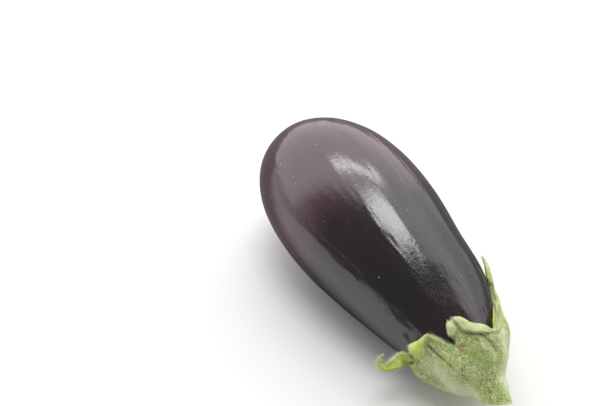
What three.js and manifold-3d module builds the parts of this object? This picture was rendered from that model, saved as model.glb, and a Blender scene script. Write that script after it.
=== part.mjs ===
// A small, plump eggplant lying on its side, as picked, with its calyx and a short cut stem.
//
// Millimetres, +Z up. The origin is the middle of the small flat spot that the fruit rests on,
// and +X runs along the fruit, from the blossom end to the stem.
//
// Both pieces are described in the fruit's own frame first: "along" is the distance from the
// blossom end on the fruit's axis, "turn" is the angle round that axis, from the top towards +Y,
// and "height" is the distance off the skin.

import * as THREE from 'three';
import { mergeVertices } from 'three/addons/utils/BufferGeometryUtils.js';
import Module from 'manifold-3d';

const wasm = await Module();
wasm.setup();

// The fruit: a long egg whose side would come to a point at FRUIT_SPAN, but closes bluntly
// inside the calyx, from SHOULDER to FRUIT_END. Its axis bows to one side by SIDE_BEND.
const FRUIT_SPAN = 151;
const FRUIT_END = 144;
const SHOULDER = 134;
const GIRTH = 31.4;
const TAPER = -0.43;
const FULLNESS = 0.055;
const NECK = 0.07;
const SIDE_BEND = 3.0;
const LOBES = 5;
const LOBE_HEIGHT = 0.22;
const LOBE_TURN = 0.6;
const SCAR_RADIUS = 2.6;
const SCAR_DEPTH = 0.5;
const FRUIT_SIDES = 56;
const FRUIT_ROWS = 44;

// How it lies: the stem end hangs lower than the middle, which puts the weight over the flat spot.
const REST_TILT = 9;
const FLAT_DEPTH = 0.7;
const GROUND = { length: 200, width: 120, depth: 20 };

// The calyx: a fleshy cup over the narrow end, cut into six sepals by six notches, and the stem.
// It keeps SKIN_GAP off the skin, more in the dome over the fruit's end. A sepal lies level with
// the skin up to FREE_START of its length, and has twisted fully by FREE_END.
const SKIN_GAP = 0.3;
const DOME_GAP = 1.0;
const CUP_THICKNESS = 1.7;
const TIP_THICKNESS = 0.8;
const TIP_HALF_WIDTH = 0.55;
const FREE_START = 0.3;
const FREE_END = 0.65;
const SEPAL_COLUMNS = 8;
const SEPAL_ROWS = 13;
const CUP_ROWS = 13;
const DOME_ROWS = 6;
const RIB_HEIGHT = 0.45;
const RIB_SHARE = 0.32;

// Radius of the cup and the stem outside, at each distance along.
const OUTSIDE_ALONG = [118, 124, 131, 136, 140, 143.5, 146, 148.5, 151, 154, 158];
const OUTSIDE_RADIUS = [22.3, 20.3, 17.7, 15.4, 12.8, 9.9, 7.7, 6.3, 5.4, 4.6, 4.1];

// The stem bends down a little past STEM_START, and its end is cut off at a slant.
const STEM_START = 148;
const STEM_BEND_LENGTH = 7;
const STEM_BEND = { side: -0.4, rise: -1.2 };
const CUT_CENTRE = new THREE.Vector3(153.6, -0.3, -1.0);
const CUT_NORMAL = new THREE.Vector3(0.78, -0.35, -0.52).normalize();
const PITH_SHARE = 0.5;
const PITH_DEPTH = 0.35;

// Each notch's turn in degrees and its distance along, going round the fruit.
const NOTCHES = [
  { turn: -136, along: 130.5 },
  { turn: -86, along: 123.2 },
  { turn: -37, along: 131.4 },
  { turn: 20, along: 132.3 },
  { turn: 88, along: 131.0 },
  { turn: 155, along: 130.5 },
];

// Each sepal runs from the notch with its number to the next one. Its middle line goes through
// points of [along, sideways, height], sideways being from the middle of its base. "slim" is how
// fast it narrows, and "twist" how far it has turned about its middle line at the tip, in degrees.
const SEPALS = [
  // Hooked, clear of the fruit.
  {
    slim: 2.0,
    twist: -95,
    path: [[123.4, 1.8, 0.3], [120.2, 4.6, 1.1], [118.2, 7.2, 4.6], [117.3, 8.3, 8.8],
      [116.3, 8.6, 11.8], [114.6, 9.8, 12.3], [113.4, 12.0, 10.6]],
  },
  // Broad, folded back on itself.
  {
    slim: 0.8,
    twist: 0,
    path: [[123.2, -0.8, 0.6], [120.9, -1.8, 1.6], [120.0, -2.4, 3.2], [120.8, -3.0, 4.8],
      [123.0, -3.6, 5.4], [125.4, -4.2, 5.0]],
  },
  // Short, on top, with its tip curled back.
  {
    slim: 1.2,
    twist: 0,
    path: [[128.4, -2.4, 0.4], [125.6, -4.2, 1.0], [124.0, -5.0, 2.4], [124.3, -5.4, 4.2],
      [126.4, -5.8, 5.0]],
  },
  // Long and pointed, standing a little off the fruit.
  {
    slim: 1.15,
    twist: 0,
    path: [[125.5, 0.5, 0.6], [119.5, 0.4, 1.5], [113.5, -0.5, 2.3], [108.5, -1.8, 2.2],
      [105.0, -3.2, 1.2]],
  },
  // At the back, with its tip lifted.
  {
    slim: 1.2,
    twist: 0,
    path: [[125.0, 0.4, 0.3], [119.5, 0.9, 0.7], [114.5, 1.0, 1.9], [110.8, 0.6, 3.8]],
  },
  // Underneath, lying flat on the fruit.
  {
    slim: 1.15,
    twist: 0,
    path: [[125.5, -0.4, 0.2], [120.5, -0.6, 0.3], [116.5, -0.2, 0.6]],
  },
];

const outsideRadius = new THREE.CubicInterpolant(OUTSIDE_ALONG, OUTSIDE_RADIUS, 1);

const degrees = THREE.MathUtils.degToRad;

const mix = THREE.MathUtils.lerp;

const smooth = THREE.MathUtils.smoothstep;

function sideRadius(along) {
  const s = 2 * along / FRUIT_SPAN - 1;
  return GIRTH * Math.sqrt(1 - s * s) * (1 + TAPER * s + FULLNESS * s ** 2 + NECK * s ** 3);
}

function slopeOf(radius, along) {
  const step = 0.01;
  return (radius(along + step) - radius(along - step)) / (2 * step);
}

// Past the shoulder the square of the radius falls to 0 at FRUIT_END, with no kink at the shoulder.
function fruitRadius(along) {
  if (along < SHOULDER) {
    return sideRadius(along);
  }
  const reach = FRUIT_END - SHOULDER;
  const left = (FRUIT_END - along) / reach;
  const edge = sideRadius(SHOULDER);
  const bend = edge * (edge + slopeOf(sideRadius, SHOULDER) * reach);
  return Math.sqrt(Math.max(0, 2 * bend * left + (edge ** 2 - 2 * bend) * left ** 2));
}

function axisSide(along) {
  return SIDE_BEND * 4 * along * (FRUIT_SPAN - along) / FRUIT_SPAN ** 2;
}

function ringPoint(along, turn, radius) {
  return new THREE.Vector3(along, axisSide(along) + radius * Math.sin(turn), radius * Math.cos(turn));
}

// The point above the skin, straight out from it.
function skinPoint(along, turn, height) {
  const radius = fruitRadius(along);
  const slope = slopeOf(fruitRadius, along);
  const lean = Math.hypot(1, slope);
  return ringPoint(along - height * slope / lean, turn, radius + height / lean);
}

const lying = new THREE.Matrix4().makeRotationY(degrees(REST_TILT));

// Moves a piece from the fruit's frame to how it lies, with the flat spot's middle at the origin.
function restingPose() {
  const step = 0.05;
  let lowest = new THREE.Vector3(0, 0, Infinity);
  for (let along = step; along < FRUIT_END; along += step) {
    const point = ringPoint(along, Math.PI, fruitRadius(along)).applyMatrix4(lying);
    lowest = point.z < lowest.z ? point : lowest;
  }
  const shift = new THREE.Matrix4().makeTranslation(-lowest.x, -lowest.y, -lowest.z - FLAT_DEPTH);
  return shift.multiply(lying);
}

const pose = restingPose();

function bare(geometry) {
  geometry.deleteAttribute('normal');
  geometry.deleteAttribute('uv');
  return mergeVertices(geometry, 1e-4);
}

function solidOf(geometry) {
  const vertProperties = new Float32Array(geometry.attributes.position.array);
  const triVerts = new Uint32Array(geometry.index.array);
  return new wasm.Manifold(new wasm.Mesh({ numProp: 3, vertProperties, triVerts }));
}

function geometryOf(solid) {
  const mesh = solid.getMesh();
  const geometry = new THREE.BufferGeometry();
  geometry.setAttribute('position', new THREE.BufferAttribute(mesh.vertProperties, 3));
  geometry.setIndex(new THREE.BufferAttribute(mesh.triVerts, 1));
  return geometry;
}

// A ball whose rings are moved out to the fruit's own radius. The skin swells in soft lobes, and
// the blossom scar is a shallow dimple in the middle of the blunt end.
function fruitGeometry() {
  const ball = bare(new THREE.SphereGeometry(1, FRUIT_SIDES, FRUIT_ROWS));
  const points = ball.attributes.position;
  for (let i = 0; i < points.count; i += 1) {
    const turn = Math.atan2(points.getX(i), points.getZ(i));
    const along = FRUIT_END * (1 - points.getY(i)) / 2;
    const plain = fruitRadius(along);
    const lobe = LOBE_HEIGHT * Math.cos(LOBES * turn + LOBE_TURN) * (plain / GIRTH) ** 2;
    const dimple = along < FRUIT_END / 2 ? SCAR_DEPTH * Math.exp(-((plain / SCAR_RADIUS) ** 2)) : 0;
    const point = ringPoint(along, turn, Math.max(0, plain + lobe));
    point.x += dimple;
    points.setXYZ(i, point.x, point.y, point.z);
  }
  ball.applyMatrix4(pose);
  const ground = bare(new THREE.BoxGeometry(GROUND.length, GROUND.width, GROUND.depth));
  ground.translate(0, 0, -GROUND.depth / 2);
  return geometryOf(solidOf(ball).subtract(solidOf(ground)));
}

// Triangles between neighbouring rows of points. Rows go away from the stem and columns go round
// with the turn, which makes the faces point away from the fruit.
function sheet(rows) {
  const corners = [];
  for (let r = 0; r + 1 < rows.length; r += 1) {
    for (let c = 0; c + 1 < rows[r].length; c += 1) {
      const near = rows[r][c];
      const far = rows[r + 1][c + 1];
      corners.push(near, rows[r][c + 1], far, near, far, rows[r + 1][c]);
    }
  }
  return corners;
}

function turnedRound(corners) {
  const result = [];
  for (let i = 0; i < corners.length; i += 3) {
    result.push(corners[i], corners[i + 2], corners[i + 1]);
  }
  return result;
}

function fan(middle, ring) {
  const corners = [];
  for (let c = 0; c + 1 < ring.length; c += 1) {
    corners.push(middle, ring[c], ring[c + 1]);
  }
  return corners;
}

// Where each column of a sepal leaves the cup: a straight line from one notch to the next.
function baseLine(index) {
  const first = NOTCHES[index];
  const second = NOTCHES[(index + 1) % NOTCHES.length];
  const secondTurn = second.turn > first.turn ? second.turn : second.turn + 360;
  const line = [];
  for (let c = 0; c <= SEPAL_COLUMNS; c += 1) {
    const share = c / SEPAL_COLUMNS;
    line.push({
      turn: degrees(mix(first.turn, secondTurn, share)),
      along: mix(first.along, second.along, share),
      across: 2 * share - 1,
    });
  }
  return line;
}

// The sheet of one sepal next to the fruit. It is laid out flat beside the fruit, as along,
// sideways and height, and rolled on to the skin last, so what has no height lies on the skin.
function sepalInside(index) {
  const { path, slim, twist } = SEPALS[index];
  const line = baseLine(index);
  const middle = line[SEPAL_COLUMNS / 2];
  const halfWidth = (line[SEPAL_COLUMNS].turn - middle.turn) * fruitRadius(middle.along);
  const start = new THREE.Vector3(middle.along, 0, 0);
  const curve = new THREE.CatmullRomCurve3([start, ...path.map((point) => new THREE.Vector3(...point))]);
  const sideways = new THREE.Vector3(0, 1, 0);
  const rows = [line.map(({ turn, along }) => skinPoint(along, turn, SKIN_GAP))];
  for (let r = 1; r <= SEPAL_ROWS; r += 1) {
    const share = r / SEPAL_ROWS;
    const heading = curve.getTangentAt(share);
    const freed = twist === 0 ? 0 : smooth(share, FREE_START, FREE_END);
    sideways.addScaledVector(heading, -sideways.dot(heading) * freed).normalize();
    const lean = sideways.clone().applyAxisAngle(heading, degrees(twist) * freed);
    const width = mix(TIP_HALF_WIDTH, halfWidth, (1 - share) ** slim);
    rows.push(line.map(({ along, across }) => {
      const flat = curve.getPointAt(share).addScaledVector(lean, across * width);
      flat.x += (along - middle.along) * (1 - share) ** 2;
      const roll = flat.y / (fruitRadius(flat.x) + flat.z);
      return skinPoint(flat.x, middle.turn + roll, SKIN_GAP + Math.max(0, flat.z));
    }));
  }
  return rows;
}

// The outer sheet of a sepal stands off the inner one by its thickness, with a raised midrib.
function sepalOutside(index, inside) {
  const line = baseLine(index);
  return inside.map((row, r) => row.map((point, c) => {
    const share = r / SEPAL_ROWS;
    const rib = RIB_HEIGHT * Math.exp(-((line[c].across / RIB_SHARE) ** 2)) * (1 - share);
    const thickness = mix(CUP_THICKNESS, TIP_THICKNESS, Math.sqrt(share)) + rib;
    if (r === 0) {
      return skinPoint(line[c].along, line[c].turn, SKIN_GAP + thickness);
    }
    const across = inside[r][Math.min(c + 1, SEPAL_COLUMNS)].clone();
    across.sub(inside[r][Math.max(c - 1, 0)]);
    const down = inside[Math.min(r + 1, SEPAL_ROWS)][c].clone().sub(inside[r - 1][c]);
    return point.clone().addScaledVector(across.cross(down).normalize(), thickness);
  }));
}

function sepalWalls(inside, outside) {
  const last = SEPAL_COLUMNS;
  const left = [outside.map((row) => row[0]), inside.map((row) => row[0])];
  const right = [inside.map((row) => row[last]), outside.map((row) => row[last])];
  const tip = [outside.at(-1), inside.at(-1)];
  return [...sheet(left), ...sheet(right), ...sheet(tip)];
}

function stemShift(along) {
  const share = Math.max(0, (along - STEM_START) / STEM_BEND_LENGTH) ** 2;
  return new THREE.Vector3(0, STEM_BEND.side * share, STEM_BEND.rise * share);
}

function outerRadius(along) {
  return outsideRadius.evaluate(along)[0];
}

// How far along the stem's side meets the slanted cut.
function cutAlong(turn) {
  const passes = 6;
  let along = CUT_CENTRE.x;
  for (let pass = 0; pass < passes; pass += 1) {
    const point = ringPoint(along, turn, outerRadius(along)).add(stemShift(along));
    along -= point.sub(CUT_CENTRE).dot(CUT_NORMAL) / CUT_NORMAL.x;
  }
  return along;
}

// Rows of the cup's and stem's outside, from the cut to where the sepals start.
function cupOutside(base) {
  const rows = [];
  for (let r = 0; r <= CUP_ROWS; r += 1) {
    const share = r / CUP_ROWS;
    rows.push(base.map(({ turn, along, across, point }) => {
      if (r === CUP_ROWS) {
        return point;
      }
      const pointRadius = Math.hypot(point.y - axisSide(point.x), point.z);
      const here = mix(cutAlong(turn), point.x, share);
      const rib = RIB_HEIGHT * Math.exp(-((across / RIB_SHARE) ** 2)) * Math.sin(Math.PI * share);
      const meet = (pointRadius - outerRadius(point.x)) * share ** 2;
      return ringPoint(here, turn, outerRadius(here) + rib + meet).add(stemShift(here));
    }));
  }
  return rows;
}

function calyxGeometry() {
  const insides = SEPALS.map((sepal, index) => sepalInside(index));
  const outsides = insides.map((inside, index) => sepalOutside(index, inside));
  const base = insides.flatMap((inside, index) => baseLine(index).slice(0, SEPAL_COLUMNS)
    .map((spot, c) => ({ ...spot, point: outsides[index][0][c] })));
  base.push(base[0]);

  const cup = cupOutside(base);
  const dome = [];
  for (let r = 1; r <= DOME_ROWS; r += 1) {
    const share = Math.sin(Math.PI / 2 * r / DOME_ROWS) ** 2;
    const gap = mix(DOME_GAP, SKIN_GAP, share ** 2);
    dome.push(base.map(({ turn, along }) => skinPoint(mix(FRUIT_END, along, share), turn, gap)));
  }

  const cutMiddle = CUT_CENTRE.clone().addScaledVector(CUT_NORMAL, -PITH_DEPTH);
  cutMiddle.y += axisSide(CUT_CENTRE.x);
  const pith = cup[0].map((point) => point.clone().lerp(cutMiddle, PITH_SHARE));
  const domeMiddle = new THREE.Vector3(FRUIT_END + DOME_GAP, axisSide(FRUIT_END), 0);

  const corners = [
    ...turnedRound(fan(cutMiddle, pith)),
    ...sheet([pith, cup[0]]),
    ...sheet(cup),
    ...fan(domeMiddle, dome[0]),
    ...turnedRound(sheet(dome)),
  ];
  insides.forEach((inside, index) => {
    corners.push(...sheet(outsides[index]));
    corners.push(...turnedRound(sheet(inside)));
    corners.push(...sepalWalls(inside, outsides[index]));
  });
  const geometry = new THREE.BufferGeometry().setFromPoints(corners);
  return mergeVertices(geometry, 1e-4).applyMatrix4(pose);
}

const skin = new THREE.MeshStandardMaterial({ color: 0x1d141b, roughness: 0.3, metalness: 0 });
const green = new THREE.MeshStandardMaterial({ color: 0x8c9d5e, roughness: 0.8, metalness: 0 });

const fruit = new THREE.Mesh(fruitGeometry(), skin);
fruit.name = 'fruit';

const calyxAndStem = new THREE.Mesh(calyxGeometry(), green);
calyxAndStem.name = 'calyx_and_stem';

const eggplant = new THREE.Group();
eggplant.add(fruit, calyxAndStem);

export default eggplant;
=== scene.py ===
import math
import random

import bmesh
import bpy
import numpy as np
from mathutils import Matrix, Vector, geometry, noise


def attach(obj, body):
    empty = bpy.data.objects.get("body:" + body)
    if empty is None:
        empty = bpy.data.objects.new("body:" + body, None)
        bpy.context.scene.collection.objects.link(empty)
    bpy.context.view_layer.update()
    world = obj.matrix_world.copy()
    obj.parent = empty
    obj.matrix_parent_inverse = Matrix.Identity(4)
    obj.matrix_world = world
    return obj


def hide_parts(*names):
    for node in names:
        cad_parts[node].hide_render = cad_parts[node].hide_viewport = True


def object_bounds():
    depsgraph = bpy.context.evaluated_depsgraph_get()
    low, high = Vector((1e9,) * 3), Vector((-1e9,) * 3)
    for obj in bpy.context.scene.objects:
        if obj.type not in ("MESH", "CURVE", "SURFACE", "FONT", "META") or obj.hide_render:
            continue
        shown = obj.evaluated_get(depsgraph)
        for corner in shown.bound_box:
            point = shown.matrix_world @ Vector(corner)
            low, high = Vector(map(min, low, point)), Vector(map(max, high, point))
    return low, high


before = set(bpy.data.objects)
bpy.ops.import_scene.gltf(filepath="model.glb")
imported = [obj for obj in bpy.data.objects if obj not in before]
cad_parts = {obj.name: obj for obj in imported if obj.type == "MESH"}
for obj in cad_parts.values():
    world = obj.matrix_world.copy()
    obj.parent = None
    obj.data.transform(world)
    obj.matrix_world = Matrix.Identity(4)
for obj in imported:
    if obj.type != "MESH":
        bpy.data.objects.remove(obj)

# A small, plump eggplant lying on its side on a pale floor, with its calyx and a short cut stem.
#
# Both pieces are modelled in the fruit's own frame, in millimetres: x is the distance along the
# axis from the blossom end, and a turn is the angle round it, from the top towards +Y. layDown
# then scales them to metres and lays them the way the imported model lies.

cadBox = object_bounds()
sceneScale = 0.001  # millimetres to metres


# small helpers

def mix(first, second, share):
    return first + (second - first) * share


def smoothStep(value, low, high):
    share = min(1.0, max(0.0, (value - low) / (high - low)))
    return share * share * (3 - 2 * share)


def bell(value, width):
    return math.exp(-((value / width) ** 2))


def nearLine(points, line, width):
    # 1 on a line through points, falling to nothing a few widths off it
    gaps = []
    for start, end in zip(np.array(line), np.array(line[1:])):
        course = end - start
        share = np.clip((points - start) @ course / (course @ course), 0, 1)
        gaps.append(np.linalg.norm(points - start - share[:, None] * course, axis=1))
    return np.exp(-(np.min(gaps, axis=0) / width) ** 2)


def heading(azimuth, elevation):
    # degrees from +Y towards +X, and up
    azimuth, elevation = math.radians(azimuth), math.radians(elevation)
    level = math.cos(elevation)
    return Vector((math.sin(azimuth) * level, math.cos(azimuth) * level, math.sin(elevation)))


def pick(piece, kind, rule):
    # edit mode: selects just the verts, edges or faces that the rule says yes to
    bpy.ops.mesh.select_all(action="DESELECT")
    bpy.ops.mesh.select_mode(type=kind)
    mesh = bmesh.from_edit_mesh(piece.data)
    items = {"VERT": mesh.verts, "EDGE": mesh.edges, "FACE": mesh.faces}[kind]
    for item in items:
        item.select_set(rule(item))
    bmesh.update_edit_mesh(piece.data)


def addModifier(piece, kind, **settings):
    modifier = piece.modifiers.new(kind.lower(), kind)
    for name, value in settings.items():
        setattr(modifier, name, value)
    bpy.ops.object.modifier_apply(modifier=modifier.name)


def weigh(piece, name, rule):
    # a vertex group for the modifiers, painted by a rule
    group = piece.vertex_groups.new(name=name)
    for vertex in piece.data.vertices:
        group.add([vertex.index], rule(vertex), "REPLACE")
    return name


def raiseSkin(piece, name, rule, height):
    # moves the surface along its normals, by height where the rule says 1
    addModifier(piece, "DISPLACE", vertex_group=weigh(piece, name, rule), mid_level=0.0,
                strength=height)


def addLumps(piece, name, size, depth, strength, middle, group):
    # soft lumps of about that size, from a cloud texture
    lumps = bpy.data.textures.new(name, "CLOUDS")
    lumps.noise_scale = size
    lumps.noise_depth = depth
    addModifier(piece, "DISPLACE", texture=lumps, texture_coords="LOCAL", vertex_group=group,
                mid_level=middle, strength=strength)


def startPiece(name):
    piece = bpy.context.object
    piece.name = name
    piece.data.name = name
    bpy.ops.object.transform_apply(location=True, rotation=True, scale=True)
    return piece


# The fruit's form: a long egg, closed bluntly inside the calyx, its axis bowed to one side.

fruit = {
    "span": 151.0,          # where its side would come to a point
    "end": 144.0,
    "shoulder": 134.0,
    "girth": 31.4,
    "taper": -0.43,
    "fullness": 0.055,
    "neck": 0.07,
    "sideBend": 3.0,
    "sides": 96,
    "rings": 72,
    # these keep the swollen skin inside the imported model's box, with the length each fades over
    "inset": (0.06, 20),
    "endInset": (0.08, 10),
    "lobes": 5,
    "lobeHeight": 0.22,
    "lobeTurn": 0.6,
    "lobeRoom": 1.2,        # keeps the lobes' weights below 1 where it is wider than the girth
    "dentSize": 26.0,
    "dentDepth": 0.45,
    "dentMiddle": 0.62,     # above a half, so that more goes in than out
    "dentsFrom": (1, 14),
    # the rings of the blossom scar, from outside in: how wide, and how far out or in
    "scarRings": [(0.3, 0.03), (0.3, -0.16), (0.55, -0.26), (0.4, -0.05), (0.25, 0.12)],
    "swell": (110.5, 60, 2.1),  # a fuller patch beside the calyx: along, turn and height
    "swellReach": 15.0,
    "tilt": 9.0,            # degrees, stem end down
    "flatDepth": 0.7,
}


def sideRadius(along):
    s = 2 * along / fruit["span"] - 1
    swell = 1 + fruit["taper"] * s + fruit["fullness"] * s ** 2 + fruit["neck"] * s ** 3
    return fruit["girth"] * math.sqrt(max(0.0, 1 - s * s)) * swell


def slopeOf(radius, along):
    step = 0.01
    return (radius(along + step) - radius(along - step)) / (2 * step)


def fruitRadius(along):
    if along < fruit["shoulder"]:
        return sideRadius(along)
    reach = fruit["end"] - fruit["shoulder"]
    left = (fruit["end"] - along) / reach
    edge = sideRadius(fruit["shoulder"])
    bend = edge * (edge + slopeOf(sideRadius, fruit["shoulder"]) * reach)
    return math.sqrt(max(0.0, 2 * bend * left + (edge ** 2 - 2 * bend) * left ** 2))


def axisSide(along):
    return fruit["sideBend"] * 4 * along * (fruit["span"] - along) / fruit["span"] ** 2


def ringPoint(along, turn, radius):
    return Vector((along, axisSide(along) + radius * math.sin(turn), radius * math.cos(turn)))


def swellAt(point):
    along, turn, height = fruit["swell"]
    centre = ringPoint(along, math.radians(turn), fruitRadius(along))
    return height * bell((point - centre).length, fruit["swellReach"])


def skinPoint(along, turn, height):
    radius = fruitRadius(along)
    height += swellAt(ringPoint(along, turn, radius))
    slope = slopeOf(fruitRadius, along)
    lean = math.hypot(1, slope)
    return ringPoint(along - height * slope / lean, turn, radius + height / lean)


def restingPlace():
    # tilted, with the middle of the flat spot at the origin
    tilted = Matrix.Rotation(math.radians(fruit["tilt"]), 4, "Y")
    step = 0.05
    lowest = Vector((0, 0, 0))
    for i in range(1, int(fruit["end"] / step)):
        point = tilted @ ringPoint(i * step, math.pi, fruitRadius(i * step))
        lowest = point if point.z < lowest.z else lowest
    lowest.z += fruit["flatDepth"]
    return Matrix.Translation(-lowest) @ tilted


place = restingPlace()


def layDown(piece):
    piece.matrix_world = Matrix.Scale(sceneScale, 4) @ place
    bpy.ops.object.select_all(action="DESELECT")
    piece.select_set(True)
    bpy.context.view_layer.objects.active = piece
    bpy.ops.object.transform_apply(location=True, rotation=True, scale=True)


def onFruit(piece, node):
    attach(piece, "root")
    if node:
        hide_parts(node)


# colours and nodes

def paint(hexValue):
    # sRGB hex to the linear colour that Blender's sockets take
    channels = [int(hexValue[i:i + 2], 16) / 255 for i in (1, 3, 5)]
    linear = [c / 12.92 if c <= 0.04045 else ((c + 0.055) / 1.055) ** 2.4 for c in channels]
    return (*linear, 1.0)


def addNode(tree, kind, settings):
    # Each setting goes to the input of that name or number, as a link where it is another node's
    # output, or else to the node itself.
    node = tree.nodes.new(kind)
    for name, value in settings.items():
        if name == "stops":
            ramp = node.color_ramp.elements
            while len(ramp) < len(value):
                ramp.new(1.0)
            for element, (position, hexValue) in zip(ramp, value):
                element.position = position
                element.color = paint(hexValue)
        elif isinstance(value, bpy.types.NodeSocket):
            tree.links.new(value, node.inputs[name])
        elif isinstance(name, int) or name in node.inputs:
            node.inputs[name].default_value = value
        else:
            setattr(node, name, value)
    return node


def addMath(tree, operation, first, second, third=0.0):
    settings = {"operation": operation, 0: first, 1: second, 2: third}
    return addNode(tree, "ShaderNodeMath", settings).outputs["Value"]


def addNoise(tree, where, scale, detail, roughness=0.5):
    settings = {"Scale": scale, "Detail": detail, "Roughness": roughness, "Vector": where}
    return addNode(tree, "ShaderNodeTexNoise", settings).outputs["Fac"]


def addStreaks(tree, where, sizes, detail, roughness=0.5):
    # noise drawn out along the fruit: its sizes are along it and across
    along, across = (1 / size for size in sizes)
    settings = {"Scale": (along, across, across), "Vector": where}
    drawn = addNode(tree, "ShaderNodeMapping", settings).outputs["Vector"]
    return addNoise(tree, drawn, 1.0, detail, roughness)


def addRamp(tree, value, stops):
    return addNode(tree, "ShaderNodeValToRGB", {"stops": stops, "Fac": value}).outputs["Color"]


def addRange(tree, value, start, end, low=0.0, high=1.0, kind="LINEAR"):
    return addNode(tree, "ShaderNodeMapRange", {
        "interpolation_type": kind, "From Min": start, "From Max": end, "To Min": low,
        "To Max": high, "Value": value}).outputs["Result"]


def addDot(tree, vector, direction):
    settings = {"operation": "DOT_PRODUCT", 0: vector, 1: direction}
    return addNode(tree, "ShaderNodeVectorMath", settings).outputs["Value"]


def mixColours(tree, amount, first, second):
    # the colours are sockets or hex values
    first, second = (paint(c) if isinstance(c, str) else c for c in (first, second))
    settings = {"data_type": "RGBA", 0: amount, 6: first, 7: second}
    return addNode(tree, "ShaderNodeMix", settings).outputs[2]


def addBump(tree, height, look, below=None):
    # look is its strength and its distance in metres, below a bump that it comes on top of
    settings = {"Height": height, "Strength": look[0], "Distance": look[1]}
    if below is not None:
        settings["Normal"] = below
    return addNode(tree, "ShaderNodeBump", settings).outputs["Normal"]


def addSurface(tree, colour, settings):
    settings = {"Base Color": colour, **settings}
    return addNode(tree, "ShaderNodeBsdfPrincipled", settings).outputs["BSDF"]


def attribute(tree, name):
    return addNode(tree, "ShaderNodeAttribute", {"attribute_name": name}).outputs["Fac"]


def newMaterial(name):
    material = bpy.data.materials.new(name)
    material.use_nodes = True
    material.node_tree.nodes.clear()
    return material, material.node_tree


def finishMaterial(material, surface):
    addNode(material.node_tree, "ShaderNodeOutputMaterial", {"Surface": surface})
    return material


def objectCoordinates(tree):
    return addNode(tree, "ShaderNodeTexCoord", {}).outputs["Object"]


def fruitCoordinates(tree):
    # Object coordinates turned back into the fruit's own frame, in millimetres
    back = place.inverted()
    return addNode(tree, "ShaderNodeMapping", {
        "Scale": (1000, 1000, 1000),
        "Rotation": back.to_euler(),
        "Location": back.translation,
        "Vector": objectCoordinates(tree),
    }).outputs["Vector"]


# The camera looks down across the fruit from its stem end.

camera = {
    "target": (-0.0322, -0.0170, 0.0340),
    "distance": 0.3257,
    "azimuth": 121.87,      # degrees from +Y towards +X, where it stands
    "elevation": 41.22,
    "lens": 43.456,
    "sensor": 36,
    "clipStart": 0.01,
}


def placeCamera():
    back = heading(camera["azimuth"], camera["elevation"])
    bpy.ops.object.camera_add(location=Vector(camera["target"]) + back * camera["distance"])
    eye = bpy.context.object
    eye.name = "camera"
    eye.rotation_euler = back.to_track_quat("Z", "Y").to_euler()
    eye.data.lens = camera["lens"]
    eye.data.sensor_width = camera["sensor"]
    eye.data.clip_start = camera["clipStart"]
    bpy.context.scene.camera = eye


placeCamera()
print("camera placed")


# The studio: a white wall of light on the far side, two soft panels overhead, a pale floor.

studio = {
    "worldColour": "#fcfcff",
    "brightFrom": -60.0,    # degrees from +Y towards +X, the middle of the bright wall
    "wallStrength": 1.75,
    "roomStrength": 0.20,
    # the wall's soft edges: beside it, as the cosine of the angle from its middle, and below it,
    # as the sine of the angle above level
    "wallEdge": (-0.18, 0.10),
    "sill": (0.0, 0.10),
    "sillStrength": 10.0,   # at the top of the sill, so that the wall there has its full strength
    # a grey flag beside the calyx: degrees round and up, its soft edge as the cosine of the angle
    # from its middle, and how much it leaves of the light
    "flagAt": (8.0, 6.0),
    "flagEdge": (0.86, 0.95),
    "flagLeaves": 0.6,
    "panels": [
        {"at": (-0.40, 0.22, 1.20), "size": (0.18, 0.90), "turn": -18, "radiance": 5.5},
        {"at": (0.1, -0.03, 1.20), "size": (0.384, 0.58), "turn": 0, "radiance": 6.0},
    ],
    "floorSize": 6.0,
    "floorColour": "#e9e8e6",
    "floorInGloss": "#6f6e70",
    "floorRoughness": 0.9,
    # the floor shows bright in the gloss only on the side that this points away from, and turns
    # dim between these two distances along it, in metres
    "dimHeading": (-0.5, 1.0, 0.0),
    "dimBetween": (-0.060, -0.030),
}


def buildWorld():
    world = bpy.data.worlds.new("studio")
    world.use_nodes = True
    tree = world.node_tree
    tree.nodes.clear()
    direction = addNode(tree, "ShaderNodeTexCoord", {}).outputs["Generated"]
    room = studio["roomStrength"]
    wall = addRange(tree, addDot(tree, direction, heading(studio["brightFrom"], 0)),
                    *studio["wallEdge"], room, studio["wallStrength"], "SMOOTHSTEP")
    up = addNode(tree, "ShaderNodeSeparateXYZ", {"Vector": direction}).outputs["Z"]
    above = addRange(tree, up, *studio["sill"], room, studio["sillStrength"], "SMOOTHSTEP")
    flag = addRange(tree, addDot(tree, direction, heading(*studio["flagAt"])),
                    *studio["flagEdge"], 1.0, studio["flagLeaves"])
    strength = addMath(tree, "MULTIPLY", addMath(tree, "MINIMUM", wall, above), flag)
    light = addNode(tree, "ShaderNodeBackground",
                    {"Color": paint(studio["worldColour"]), "Strength": strength})
    addNode(tree, "ShaderNodeOutputWorld", {"Surface": light.outputs["Background"]})
    bpy.context.scene.world = world


def hangPanel(spot, number):
    bpy.ops.object.light_add(type="AREA", location=spot["at"],
                             rotation=(0, 0, math.radians(spot["turn"])))
    panel = bpy.context.object
    panel.name = f"panel_{number}"
    panel.data.shape = "RECTANGLE"
    panel.data.size, panel.data.size_y = spot["size"]
    panel.data.energy = spot["radiance"] * math.pi * spot["size"][0] * spot["size"][1]


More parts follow.
